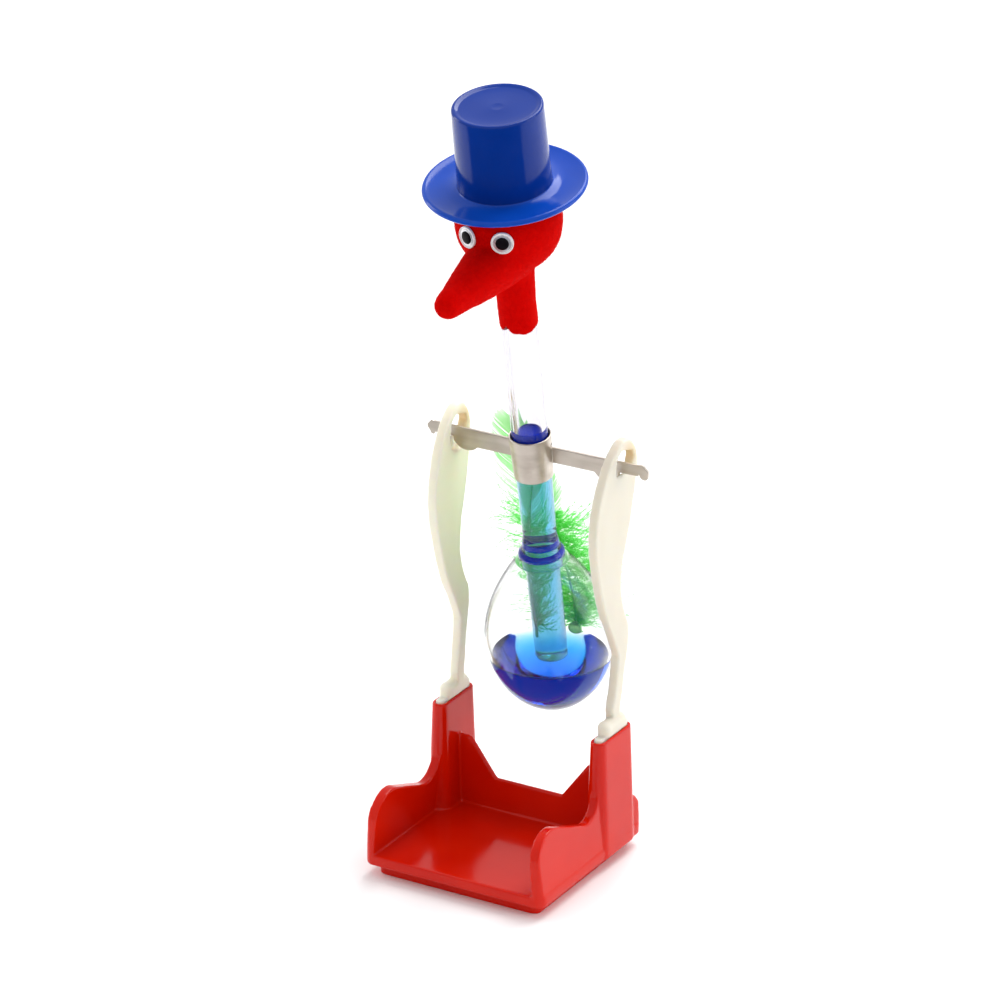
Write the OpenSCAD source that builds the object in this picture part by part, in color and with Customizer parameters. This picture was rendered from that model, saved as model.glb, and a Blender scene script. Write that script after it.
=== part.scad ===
// Drinking bird desk toy: a glass bird with a top hat that rocks on a plastic stand.
// The bird faces -Y, +X is its left-hand side as seen from the front right,
// and +Z is up. The origin is the middle of the flat underside of the stand.
// The bird is drawn in its own frame: zero on the rocking axis, +Z along the neck.

/* [Rocking] */
// Forward lean of the neck at rest, in degrees
lean = 10; // [6:0.5:14]
// Height of the rocking axis above the table
pivot_z = 94.6; // [93:0.1:97]
// Distance of the rocking axis behind the middle of the stand
pivot_y = 14.15; // [13:0.05:15]
// Radius of the knife edge under each neck of the crossbar
knife_r = 0.3; // [0.25:0.01:0.34]
// Radius of the groove the knife edge rests in
groove_r = 0.36; // [0.35:0.01:0.4]

/* [Stand] */
// Width of the stand over the side walls
base_w = 46.4; // [45:0.1:48]
// Depth of the stand from front to rear
base_d = 46.3; // [45:0.1:48]
// Height of the plinth ring under the floor
plinth_h = 2.8; // [2:0.1:3.5]
// Distance the plinth stands back from the edge
plinth_inset = 2.4; // [2:0.1:3]
// Thickness of the tray floor
floor_t = 2.6; // [2:0.1:3]
// Thickness of the side walls
wall_t = 2.4; // [2:0.1:2.8]
// Inward lean of the side walls, in degrees
wall_lean = 4.9; // [3:0.1:6]
// Radius of the upright corners
corner_r = 2.3; // [1.5:0.1:2.4]
// Height of the back wall's middle
notch_z = 13.3; // [11:0.1:15]
// Height of the back wall where it meets the posts
back_z = 22.4; // [20:0.1:24]
// Thickness of the back wall
back_t = 1.0; // [0.8:0.1:1.4]

/* [Posts] */
// Height of the post tops
post_z = 31.7; // [30:0.1:33]
// Distance of each post from the middle
post_x = 20.68; // [20.4:0.02:20.9]
// Radius of the post ends at the top
post_r = 1.87; // [1.8:0.01:2]
// Radius of the post ends at the bottom
post_foot_r = 2.9; // [2.6:0.05:3]
// Radius of the pocket ends that hold the legs
pocket_r = 1.12; // [1:0.02:1.2]
// Depth of the pockets
pocket_h = 7; // [5:0.5:9]

/* [Legs] */
// Thickness of the leg plates
leg_t = 2.4; // [2:0.1:2.6]
// Outward lean of the leg plates, in degrees
leg_lean = 0.83; // [0.5:0.01:1]
// Turn of the right leg's shank about the vertical, in degrees
right_toe = 5; // [0:0.5:6]
// Height of the round-topped foot over the post
foot_h = 3.6; // [3:0.1:4]
// Radius of the round recess inside each leg
recess_r = 3.4; // [3.3:0.1:3.8]
// Plate left between the recess and the outside
sill_t = 0.8; // [0.6:0.05:0.85]

/* [Crossbar] */
// Thickness of the plated strip
strip_t = 0.6; // [0.5:0.02:0.68]
// Reach of the crossbar's right arm from the middle
right_end = 28.7; // [28:0.1:29.5]
// Reach of the crossbar's left arm from the middle
left_end = 27.9; // [27.5:0.1:29]
// Height of the strip's upper edge over the rocking axis
strip_top = 2.45; // [2.2:0.05:2.5]
// Depth of the arms below the rocking axis
arm_low = 2.0; // [1.6:0.1:2.4]
// Radius of the rounded lobe inside each leg
lobe_r = 3.6; // [3.2:0.1:3.7]
// Wall of the collar round the neck
collar_t = 0.38; // [0.3:0.01:0.45]
// Outer radius of the collar's upper rim
collar_rim_r = 4.83; // [4.6:0.01:4.9]

/* [Glass] */
// Outer radius of the neck above the collar
tube_r = 4.1; // [4:0.05:4.3]
// Outer radius of the neck just below the collar
tube_low_r = 4.03; // [3.95:0.01:4.1]
// Outer radius of the dip tube from the bulb's ring down
dip_r = 3.85; // [3.7:0.05:3.95]
// Bore radius of the neck
bore_r = 2.75; // [2.5:0.05:3]
// Distance of the neck in front of the rocking axis
tube_y = -1.35; // [-1.5:0.05:-1.2]
// Distance of the neck to the right of the middle
tube_x = -0.25; // [-0.3:0.05:0]
// Largest radius of the lower bulb
bulb_r = 14.86; // [14.2:0.02:15]
// Depth of the lower bulb under its widest place
bulb_h = 19.2; // [18.6:0.1:19.6]
// Height of the bulb's widest place
bulb_z = -46.7; // [-48:0.1:-46.4]
// Height over which the bulb's shoulder is drawn in
bulb_neck = 22.25; // [22:0.05:22.6]
// Wall of the lower bulb
bulb_wall = 1.03; // [0.9:0.01:1.2]
// Radius of the head bulb
skull_r = 11.3; // [11:0.05:11.4]
// Wall of the head bulb
skull_wall = 0.7; // [0.6:0.05:1]
// Height of the head's middle
head_z = 59.7; // [59:0.1:61]

/* [Liquid] */
// Height of the liquid's surface in the bulb above the table
pool_z = 42.4; // [41.5:0.1:45]
// Height of the liquid in the neck
column_top = 6.6; // [5:0.1:12]

/* [Head] */
// Thickness of the red flocked covering
felt_t = 0.52; // [0.4:0.02:0.6]
// Height of the sleeve's lower edge
sleeve_z = 33.5; // [32:0.1:35]
// Radius of the beak where it leaves the head
beak_r = 6.0; // [5.5:0.1:6.6]
// Radius of the beak's tip
beak_tip_r = 2.9; // [2.5:0.1:3.2]
// Distance of the tip's middle in front of the rocking axis
beak_reach = 29.6; // [28:0.1:31]
// Radius of the eye discs
eye_r = 2.5; // [2.2:0.1:2.8]
// Radius of the pupils
pupil_r = 1.55; // [1.3:0.05:1.7]
// Turn of the face to the bird's left, in degrees
head_turn = 2.6; // [0:0.1:4]
// Turn of each eye from straight ahead, in degrees
eye_turn = 21; // [18:1:24]

/* [Hat] */
// Radius of the brim
brim_r = 18.1; // [17.5:0.1:18.5]
// Thickness of the brim
brim_t = 1.1; // [0.9:0.05:1.3]
// Outer radius of the crown at the brim
crown_r = 10.37; // [10.2:0.01:10.6]
// Outer radius of the crown at the top
crown_top_r = 9.98; // [9.6:0.02:10.2]
// Height of the crown above the brim
crown_h = 19; // [18:0.1:20]
// Wall of the hat
hat_t = 0.95; // [0.8:0.05:1]
// Forward tip of the hat on the head, in degrees
hat_tip = 1.15; // [0:0.05:2]
// Sideways tip of the hat on the head, in degrees
hat_roll = 0.65; // [0:0.05:1.5]

/* [Feather] */
// Thickness of the feather's vane
vane_t = 0.7; // [0.6:0.05:0.9]
// Radius of the quill
quill_r = 0.45; // [0.4:0.05:0.5]

/* [Hidden] */
$fn = 96;

fit = 0.02;
half_w = base_w / 2;
half_d = base_d / 2;
floor_z = plinth_h + floor_t;
back_y = 11.1;
post_front = 6.83;
post_rear = 17.7;
leg_foot_z = 34;
leg_foot_x = 20.3;
collar_top = 5.6;
collar_low = -5.0;
dip_end = -53.3;
felt_r = skull_r + felt_t + fit;
hat_z = 67.65;
hat_sit_r = 8.86;
crown_top = hat_z + brim_t + crown_h;
beak_z = 53.7;
toe_y = 12.5;
hinge_x = leg_foot_x + (pivot_z - leg_foot_z) * sin(leg_lean);

red = [0.80, 0.10, 0.06];
ivory = [0.93, 0.90, 0.80];
nickel = [0.78, 0.76, 0.72];
clear = [0.85, 0.93, 0.96];
dye = [0.05, 0.15, 0.85];
felt_red = [0.78, 0.02, 0.04];
hat_blue = [0.04, 0.16, 0.72];
green = [0.20, 0.78, 0.25];

// ---------- shared shapes ----------

module rounded_plate(w, d, r) {
    square([w, d - 2 * r], center = true);
    square([w - 2 * r, d], center = true);
    for (sx = [-1, 1], sy = [-1, 1])
        translate([sx * (w / 2 - r), sy * (d / 2 - r)])
            circle(r);
}

module both_sides() {
    children();
    mirror([1, 0, 0])
        children();
}

// the bird's own frame: zero on the rocking axis, leaned forward
module bird_frame() {
    translate([0, pivot_y, pivot_z])
        rotate([lean, 0, 0])
            children();
}

module on_neck() {
    bird_frame()
        translate([tube_x, tube_y, 0])
            children();
}

// a straight-sided slot block with round ends along Y
module stadium(r, h) {
    for (y = [post_front, post_rear])
        translate([0, y, 0])
            cylinder(r = r, h = h);
    translate([-r, post_front, 0])
        cube([2 * r, post_rear - post_front, h]);
}

// ---------- stand ----------

arch_y = -16.4;
arch_z = 13.1;
arch_r = 6.6;
fillet_y = -0.45;
fillet_z = 19.5;
fillet_r = 5;
rear_arch_r = 6;

module side_profile() {
    difference() {
        union() {
            polygon([
                [-half_d, plinth_h],
                [arch_y - arch_r, arch_z],
                [arch_y, arch_z],
                [-14.07, 19.27],
                [-2.35, 14.85],
                [fillet_y, 14.1],
                [half_d - rear_arch_r, 14],
                [half_d - rear_arch_r, 8],
                [half_d, 8],
                [half_d, plinth_h]
            ]);
            translate([arch_y, arch_z])
                circle(arch_r);
            translate([half_d - rear_arch_r, 8])
                circle(rear_arch_r);
            translate([-2.35, 10])
                square([9, fillet_z - 10]);
        }
        translate([fillet_y, fillet_z])
            circle(fillet_r);
        translate([-half_d, -10])
            square([base_d, 10 + plinth_h]);
    }
}

module side_wall() {
    intersection() {
        translate([half_w, 0, plinth_h])
            rotate([0, -wall_lean, 0])
                translate([-wall_t, 0, -plinth_h])
                    rotate([90, 0, 90])
                        linear_extrude(wall_t)
                            side_profile();
        translate([0, 0, plinth_h])
            linear_extrude(30)
                rounded_plate(base_w, base_d, corner_r);
    }
}

module post() {
    h = post_z - plinth_h;
    translate([post_x, 0, plinth_h]) {
        for (y = [post_front, post_rear])
            translate([0, y, 0])
                cylinder(r1 = post_foot_r, r2 = post_r, h = h);
        translate([0, post_rear, 0])
            rotate([90, 0, 0])
                linear_extrude(post_rear - post_front)
                    polygon([
                        [-post_foot_r, 0],
                        [post_foot_r, 0],
                        [post_r, h],
                        [-post_r, h]
                    ]);
    }
}

module back_wall() {
    translate([0, back_y + back_t, 0])
        rotate([90, 0, 0])
            linear_extrude(back_t)
                polygon([
                    [-19.5, plinth_h],
                    [19.5, plinth_h],
                    [19.5, back_z],
                    [15.3, back_z],
                    [8.6, notch_z],
                    [-8.6, notch_z],
                    [-15.3, back_z],
                    [-19.5, back_z]
                ]);
}

module plinth_ring() {
    w = base_w - 2 * plinth_inset;
    d = base_d - 2 * plinth_inset;
    linear_extrude(plinth_h)
        difference() {
            rounded_plate(w, d, corner_r - 0.6);
            rounded_plate(w - 3.6, d - 3.6, 0.8);
        }
}

module base() {
    color(red)
        difference() {
            union() {
                plinth_ring();
                translate([0, 0, plinth_h])
                    linear_extrude(floor_t)
                        rounded_plate(base_w, base_d, corner_r);
                both_sides()
                    side_wall();
                both_sides()
                    post();
                back_wall();
            }
            both_sides()
                translate([post_x, 0, post_z - pocket_h])
                    stadium(pocket_r, pocket_h + 1);
        }
}

// ---------- legs ----------

// front and rear edges of the leg at each height
leg_stations = [
    [33, 12.6, 15.2], [37, 12.0, 15.2], [41, 12.8, 15.9], [44, 13.3, 16.3],
    [47, 13.7, 16.8], [50, 13.9, 17.4], [52, 13.2, 17.8], [54.5, 12.0, 17.95],
    [57, 10.8, 17.7], [60, 9.2, 16.2], [63, 7.9, 15.1], [66.5, 6.7, 14.35],
    [70, 5.7, 14.5], [74, 4.7, 15.1], [78, 3.95, 16.4], [82, 3.7, 17.5],
    [86, 4.1, 18.3], [89, 4.8, 18.9], [92, 5.9, 19.4], [94.5, 7.0, 19.75],
    [96.5, 8.1, 19.75], [98.5, 9.4, 19.3], [100, 10.7, 18.4], [101.3, 12.3, 17.3],
    [102.1, 13.8, 16.0]
];

module leg_outline() {
    n = len(leg_stations);
    front = [for (s = leg_stations) [s[1], s[0]]];
    rear = [for (i = [n - 1:-1:0]) [leg_stations[i][2], leg_stations[i][0]]];
    polygon(concat(front, rear));
}

// the window the crossbar passes through, measured from the rocking axis
module leg_window() {
    polygon([
        [-2.85, -knife_r],
        [2.4, -knife_r],
        [3, 1],
        [3.8, 2.6],
        [3.2, 4.3],
        [-0.3, 5.2],
        [-1.2, 4.9],
        [-2.7, 3.6]
    ]);
    circle(groove_r);
}

module leg_plate(toe) {
    translate([leg_foot_x, toe_y, leg_foot_z])
        rotate([0, leg_lean, -toe])
            translate([-leg_t / 2, -toe_y, -leg_foot_z])
                rotate([90, 0, 90])
                    linear_extrude(leg_t)
                        leg_outline();
}

// a low bar on the post's top with a rounded back and a ball-shaped front end
module leg_foot() {
    bar_r = 1.6;
    front = 9.5;
    rear = 16.8;
    mid = foot_h - bar_r;
    translate([post_x, 0, post_z]) {
        for (y = [front, rear])
            translate([0, y, 0])
                cylinder(r = bar_r, h = mid);
        translate([-bar_r, front, 0])
            cube([2 * bar_r, rear - front, mid]);
        translate([0, rear, mid])
            rotate([90, 0, 0])
                cylinder(r = bar_r - fit, h = rear - front);
        translate([0, front, mid])
            sphere(bar_r + 0.1);
    }
    translate([post_x, 0, post_z - pocket_h])
        stadium(pocket_r - fit, pocket_h + 0.5);
}

module leg_solid(toe) {
    difference() {
        union() {
            leg_plate(toe);
            leg_foot();
        }
        translate([18, pivot_y, pivot_z])
            rotate([90, 0, 90])
                linear_extrude(6)
                    leg_window();
        translate([hinge_x + leg_t / 2 - sill_t - 4, pivot_y, pivot_z])
            rotate([0, 90, 0])
                cylinder(r = recess_r, h = 4);
    }
}

module right_leg() {
    color(ivory)
        leg_solid(right_toe);
}

module left_leg() {
    color(ivory)
        mirror([1, 0, 0])
            leg_solid(0);
}

// ---------- crossbar ----------

neck_in = 21.25;
neck_out = 26.1;

// the turned-down tip at the end of an arm
module arm_tip(end, tip_r) {
    tip_x = end - 1.2;
    tip_z = tip_r - 0.9;
    polygon([
        [end - 2.6, 1],
        [end, 1],
        [tip_x + tip_r, tip_z],
        [tip_x - tip_r, tip_z]
    ]);
    translate([tip_x, tip_z])
        circle(tip_r);
}

module half_strip(start, low, end, tip_r) {
    polygon([
        [start, -low],
        [18, -low],
        [neck_in, 0],
        [end, 0.6],
        [end, strip_top - 0.9],
        [end - 1.2, strip_top + 0.4],
        [neck_out, strip_top + 0.2],
        [start, strip_top]
    ]);
    translate([neck_in - 1, 0])
        square([neck_out - neck_in + 1, 1]);
    intersection() {
        translate([18, 0.3])
            circle(lobe_r);
        translate([12, -6])
            square([neck_in - 12, 6.5]);
    }
    arm_tip(end, tip_r);
}

module collar() {
    h = collar_top - collar_low;
    low_r = tube_low_r + fit;
    difference() {
        translate([tube_x, tube_y, collar_low])
            cylinder(r1 = low_r + collar_t, r2 = collar_rim_r, h = h);
        translate([tube_x, tube_y, collar_low])
            cylinder(r1 = low_r, r2 = collar_rim_r - collar_t, h = h);
        translate([3.4, -strip_t / 2 - 0.3, strip_top])
            cube([2, strip_t + 1, 0.8]);
    }
}

module arm(start, low, end, tip_r) {
    translate([0, strip_t / 2, 0])
        rotate([90, 0, 0])
            linear_extrude(strip_t)
                half_strip(start, low, end, tip_r);
    translate([neck_in, 0, 0])
        rotate([0, 90, 0])
            cylinder(r = knife_r, h = neck_out - neck_in);
}

module crossbar() {
    color(nickel)
        bird_frame() {
            collar();
            arm(3.95, arm_low - 0.5, right_end, 1.1);
            mirror([1, 0, 0])
                arm(4.4, arm_low, left_end, 0.55);
        }
}

// ---------- glass ----------

module neck_tube() {
    color(clear)
        on_neck()
            rotate_extrude()
                polygon([
                    [bore_r, dip_end],
                    [dip_r - 0.25, dip_end],
                    [dip_r, dip_end + 0.5],
                    [dip_r, -20],
                    [tube_low_r, collar_low - 1],
                    [tube_low_r, collar_low],
                    [tube_r, collar_top],
                    [tube_r, 48.6],
                    [bore_r, 48.6]
                ]);
}

bulb_steps = 36;
ring_z = bulb_z + 20.8;

// the bulb's round bottom, from the tip up to its widest place
function bowl(gap) = [for (i = [0:bulb_steps])
    [(bulb_r - gap) * sin(90 * i / bulb_steps), bulb_z - (bulb_h - gap) * cos(90 * i / bulb_steps)]];

// the shoulder above, drawn in towards the neck
function shoulder(gap, top) = [for (i = [1:bulb_steps])
    [(bulb_r - gap) * (1 - 0.73 * pow((top - bulb_z) / bulb_neck * i / bulb_steps, 1.8)),
     bulb_z + (top - bulb_z) * i / bulb_steps]];

function reversed(list) = [for (i = [len(list) - 1:-1:0]) list[i]];

// an egg-shaped shell drawn up into a ring that is fused round the neck
module lower_bulb() {
    outer = concat(bowl(0), shoulder(0, ring_z));
    inner = concat(bowl(bulb_wall), shoulder(bulb_wall, ring_z - 1.4));
    color(clear)
        on_neck()
            rotate_extrude()
                polygon(concat(
                    outer,
                    [[5.3, ring_z + 0.55], [5.15, ring_z + 1.2], [4.65, ring_z + 2],
                     [4.2, ring_z + 3], [4.1, ring_z + 3.7], [3.95, ring_z + 5],
                     [dip_r + fit, ring_z + 5.1], [dip_r + fit, ring_z - 0.6], [4.3, ring_z - 1]],
                    reversed(inner)
                ));
}

module head_bulb() {
    in_r = skull_r - skull_wall;
    color(clear)
        on_neck()
            difference() {
                union() {
                    translate([0, 0, head_z])
                        sphere(skull_r);
                    translate([0, 0, 48.6])
                        cylinder(r = tube_r, h = 3);
                }
                translate([0, 0, head_z])
                    sphere(in_r);
                translate([0, 0, 48])
                    cylinder(r = bore_r, h = 4);
            }
}

// ---------- liquid ----------

// everything below a level surface, even though the bird leans
module below_level(z) {
    translate([0, 0, z - 60])
        translate([-60, -60, 0])
            cube([120, 160, 60]);
}

module liquid_pool() {
    gap = bulb_wall + fit;
    color(dye)
        intersection() {
            below_level(pool_z);
            on_neck()
                difference() {
                    rotate_extrude()
                        polygon(concat([[0, bulb_z]], bowl(gap)));
                    translate([0, 0, dip_end - fit])
                        cylinder(r = dip_r + fit, h = 60);
                }
        }
}

module liquid_column() {
    color(dye)
        on_neck()
            translate([0, 0, dip_end])
                cylinder(r = bore_r - fit, h = column_top - dip_end);
}

// ---------- head ----------

module beak_shape() {
    on_neck()
        rotate([0, 0, head_turn]) {
            translate([0, -4, beak_z])
                rotate([90, 0, 0])
                    cylinder(r1 = beak_r + 0.7, r2 = beak_tip_r, h = beak_reach + tube_y - 4);
            translate([0, -beak_reach - tube_y, beak_z])
                sphere(beak_tip_r);
        }
}

module head_felt() {
    color(felt_red)
        on_neck()
            difference() {
                union() {
                    translate([0, 0, head_z])
                        sphere(felt_r);
                    translate([0, 0, sleeve_z])
                        cylinder(r = tube_r + 0.22, h = 18);
                }
                translate([0, 0, head_z])
                    sphere(skull_r + fit);
                translate([0, 0, sleeve_z - 1])
                    cylinder(r = tube_r + fit, h = 20);
            }
}

module beak() {
    color(felt_red)
        difference() {
            beak_shape();
            on_neck()
                translate([0, 0, head_z])
                    sphere(felt_r + fit);
            on_neck()
                translate([0, 0, sleeve_z])
                    cylinder(r = tube_r + 0.4, h = 18);
        }
}

module on_eye(side) {
    on_neck()
        translate([0, 0, head_z])
            rotate([0, 0, head_turn + side * eye_turn])
                rotate([-4, 0, 0])
                    translate([0, -felt_r, 0])
                        rotate([90, 0, 0])
                            children();
}

// each disc is pressed a little into the soft covering
module eye_disc(side) {
    color([0.86, 0.86, 0.88])
        on_eye(side)
            translate([0, 0, -0.2])
                cylinder(r = eye_r, h = 0.65);
}

module pupil_disc(side) {
    color([0.03, 0.03, 0.04])
        on_eye(side)
            translate([0, 0, 0.45])
                cylinder(r = pupil_r, h = 0.3);
}

module left_eye() {
    eye_disc(-1);
}

module right_eye() {
    eye_disc(1);
}

module left_pupil() {
    pupil_disc(-1);
}

module right_pupil() {
    pupil_disc(1);
}

// ---------- hat ----------

module hat_form() {
    rim_r = brim_t / 2 + 0.15;
    rotate_extrude() {
        translate([brim_r - rim_r, hat_z + brim_t / 2 + 0.15])
            circle(rim_r);
        polygon([
            [hat_sit_r, hat_z],
            [brim_r - rim_r, hat_z],
            [brim_r - rim_r, hat_z + brim_t],
            [crown_r, hat_z + brim_t],
            [crown_top_r, crown_top - 0.6],
            [crown_top_r - 0.6, crown_top],
            [0, crown_top],
            [0, crown_top - hat_t],
            [crown_top_r - hat_t, crown_top - hat_t],
            [crown_r - hat_t, hat_z + brim_t]
        ]);
    }
}

// the hat sits a little askew, turned about the middle of the head
module hat() {
    color(hat_blue)
        on_neck()
            translate([0, 0, head_z])
                rotate([hat_tip, hat_roll, 0])
                    translate([0, 0, -head_z])
                        hat_form();
}

// ---------- tail feather ----------

quill_pts = [
    [-1.6, 13.3, -54.5], [-2.2, 14.3, -47], [-3.4, 13.6, -37], [-5.2, 10.4, -21], [-11, 7.6, 2]
];

module quill_piece(a, b) {
    v = b - a;
    len = norm(v);
    translate(a)
        rotate([0, acos(v[2] / len), atan2(v[1], v[0])])
            cylinder(r = quill_r, h = len);
}

module feather_quill() {
    color(green)
        bird_frame() {
            for (i = [0:len(quill_pts) - 2])
                quill_piece(quill_pts[i], quill_pts[i + 1]);
            for (i = [1:len(quill_pts) - 2])
                translate(quill_pts[i])
                    sphere(quill_r * 1.15);
        }
}

module vane_outline() {
    polygon([
        [-4, -46], [-9, -43], [-14, -36], [-15.5, -28], [-15, -18], [-15, -8], [-13.8, -1],
        [-11.6, 2.6], [-9, -2], [-6, -9], [-2.5, -14], [3, -17], [9, -20], [13, -27],
        [14.2, -35], [11, -43], [5, -47]
    ]);
}

module feather_vane() {
    color(green)
        difference() {
            bird_frame()
                translate([0, 13.9 + vane_t, 0])
                    rotate([90, 0, 0])
                        linear_extrude(vane_t)
                            vane_outline();
            bird_frame()
                for (i = [0:len(quill_pts) - 2])
                    quill_piece(quill_pts[i], quill_pts[i + 1]);
        }
}

module feather_glue() {
    color(clear)
        difference() {
            bird_frame()
                translate([-1.6, 12.4, -55])
                    sphere(1.75);
            on_neck()
                rotate_extrude()
                    polygon(concat([[0, bulb_z]], bowl(-fit)));
            bird_frame()
                quill_piece(quill_pts[0], quill_pts[1]);
        }
}

// ---------- assembly ----------

base();
left_leg();
right_leg();
crossbar();
neck_tube();
lower_bulb();
head_bulb();
liquid_pool();
liquid_column();
head_felt();
beak();
left_eye();
right_eye();
left_pupil();
right_pupil();
hat();
feather_quill();
feather_vane();
feather_glue();
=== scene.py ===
import math
import random

import bmesh
import bpy
import numpy as np
from mathutils import Matrix, Vector, noise

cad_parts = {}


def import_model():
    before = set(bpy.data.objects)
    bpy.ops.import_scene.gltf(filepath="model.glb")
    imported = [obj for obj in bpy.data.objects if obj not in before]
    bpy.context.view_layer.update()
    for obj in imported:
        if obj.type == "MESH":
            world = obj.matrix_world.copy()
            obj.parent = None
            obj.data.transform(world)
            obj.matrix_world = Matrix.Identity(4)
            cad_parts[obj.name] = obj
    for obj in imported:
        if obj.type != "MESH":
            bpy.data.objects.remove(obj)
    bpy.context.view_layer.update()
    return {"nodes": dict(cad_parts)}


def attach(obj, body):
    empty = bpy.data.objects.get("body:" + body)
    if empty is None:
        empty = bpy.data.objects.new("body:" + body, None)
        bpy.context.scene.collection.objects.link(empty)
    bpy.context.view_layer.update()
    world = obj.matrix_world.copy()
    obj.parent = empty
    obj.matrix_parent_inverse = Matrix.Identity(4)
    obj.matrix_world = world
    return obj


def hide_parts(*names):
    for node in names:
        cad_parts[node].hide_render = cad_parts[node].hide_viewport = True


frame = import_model()

# Shapes are drawn in millimetres and turned into metres as their mesh is made.
MM = 0.001

# The bird's own frame: zero on the rocking axis, leaned forward as it rests.
PIVOT = Vector((0.0, 14.15, 94.6))
LEAN = math.radians(10.0)
NECK_X = -0.25
NECK_Y = -1.35
BIRD = Matrix.Translation(PIVOT) @ Matrix.Rotation(LEAN, 4, "X")
NECK = BIRD @ Matrix.Translation((NECK_X, NECK_Y, 0.0))

# Heights run along the neck from the rocking axis.
BULB_Z = -46.7
BULB_R = 14.86
BULB_H = 19.2
BULB_NECK = 22.25
BULB_WALL = 0.8
SHOULDER_PULL = 0.73
SHOULDER_POWER = 1.8
RING_Z = -25.9
POOL_Z = 42.4
DIP_END = -53.3
BORE_R = 2.75
TUBE_R = 4.1
TUBE_LOW_R = 4.03
DIP_R = 3.85
COLUMN_TOP = 6.9
HEAD_Z = 59.7
FELT_R = 11.84
SLEEVE_Z = 33.5
SLEEVE_R = 4.3
HAT_Z = 68.0
BRIM_R = 18.1
CROWN_R = 10.37
CROWN_TOP_R = 9.98
CROWN_H = 20.1
EYE_TURN = 21.0
HEAD_TURN = 2.6

# POOL_Z is above the table; WETTING is how far the liquid's edge climbs the glass over it.
WETTING = 0.6
GLASS_STEPS = 160
TUBE_STEPS = 96

# Where the camera stands, and the angles it looks along.
CAMERA_PLACE = (0.545463, -0.934294, 0.544615)
CAMERA_AZIMUTH = math.radians(30.311)
CAMERA_ELEVATION = math.radians(22.879)
CAMERA_LENS = 191.05
CARD_START = -144.7
CARD_STEP = 6.0
CARD_STEPS = 24


# ---------- mesh helpers ----------

def link(name, mesh, material):
    obj = bpy.data.objects.new(name, mesh)
    bpy.context.scene.collection.objects.link(obj)
    mesh.materials.clear()
    mesh.materials.append(material)
    return obj


def new_mesh(name, verts, faces, material, matrix=Matrix.Identity(4), sharp=40.0):
    """Makes a smooth-shaded object from millimetre vertices, placed by matrix."""
    mesh = bpy.data.meshes.new(name)
    mesh.from_pydata([tuple((matrix @ Vector(v)) * MM) for v in verts], [], faces)
    mesh.update()
    shade(mesh, sharp)
    return link(name, mesh, material)


def shade(mesh, sharp):
    mesh.shade_smooth()
    mesh.set_sharp_from_angle(angle=math.radians(sharp))


def add(obj, body, slot, *nodes):
    """Says which body a piece belongs to, and hides the CAD nodes it stands for. slot is not used."""
    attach(obj, body)
    if nodes:
        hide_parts(*nodes)
    return obj


def lathe(profile, steps=128, closed=True):
    """Turns a profile of (radius, height) round +Z. A closed profile makes a ring-shaped skin."""
    verts, faces, rows = [], [], []
    for r, z in profile:
        if r < 1e-6:
            rows.append([len(verts)] * steps)
            verts.append((0.0, 0.0, z))
            continue
        rows.append(list(range(len(verts), len(verts) + steps)))
        for i in range(steps):
            a = 2 * math.pi * i / steps
            verts.append((r * math.cos(a), r * math.sin(a), z))
    pairs = list(zip(rows, rows[1:]))
    if closed:
        pairs.append((rows[-1], rows[0]))
    for low, high in pairs:
        for i in range(steps):
            j = (i + 1) % steps
            corners = [low[i], low[j], high[j], high[i]]
            face = [v for k, v in enumerate(corners) if v not in corners[:k]]
            if len(face) > 2:
                faces.append(face)
    return verts, faces


def smooth_path(points, per_span=8):
    """Catmull-Rom points through the given ones."""
    pts = [Vector(p) for p in points]
    pts = [2 * pts[0] - pts[1]] + pts + [2 * pts[-1] - pts[-2]]
    out = []
    for i in range(1, len(pts) - 2):
        a, b, c, d = pts[i - 1:i + 3]
        for k in range(per_span):
            t = k / per_span
            out.append(0.5 * (2 * b + (c - a) * t + (2 * a - 5 * b + 4 * c - d) * t * t
                              + (3 * b - a - 3 * c + d) * t ** 3))
    out.append(pts[-2])
    return out


def arc(cx, cz, r, start, end, steps=6):
    return [(cx + r * math.cos(math.radians(start + (end - start) * i / steps)),
             cz + r * math.sin(math.radians(start + (end - start) * i / steps)))
            for i in range(steps + 1)]


def evaluated(obj):
    depsgraph = bpy.context.evaluated_depsgraph_get()
    depsgraph.update()
    return bpy.data.meshes.new_from_object(obj.evaluated_get(depsgraph))


def coordinates(mesh):
    co = np.empty(len(mesh.vertices) * 3, dtype=np.float32)
    mesh.vertices.foreach_get("co", co)
    return co.reshape(-1, 3)


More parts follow.
